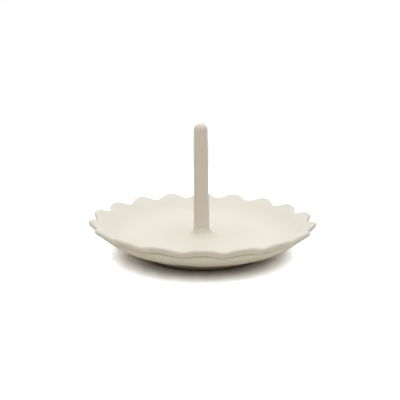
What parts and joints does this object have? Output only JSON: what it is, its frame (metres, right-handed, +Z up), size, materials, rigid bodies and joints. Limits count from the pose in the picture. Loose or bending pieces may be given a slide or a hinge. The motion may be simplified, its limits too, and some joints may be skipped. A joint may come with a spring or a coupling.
{
  "type": "ring dish",
  "caption": "Round stoneware ring dish: a shallow saucer with a scalloped rounded lip, a low foot ring, and a slim tapered post with a domed tip for finger rings.",
  "frame": {"origin": "centre of the foot ring's resting face, on the surface that the dish stands on", "axes": "+Z up along the ring post; -Y is the front, where a scallop's crest faces the viewer; +X to the right"},
  "size_m": [0.1184, 0.12, 0.0686],
  "materials": {
    "cream_glaze": "satin matt cream glaze on stoneware",
    "bare_clay": "unglazed buff stoneware, wiped clean before firing"
  },
  "bodies": {
    "root": {"dish": "cream_glaze", "foot_ring": "bare_clay", "ring_post": "cream_glaze", "post_fillet": "cream_glaze"}
  },
  "joints": []
}
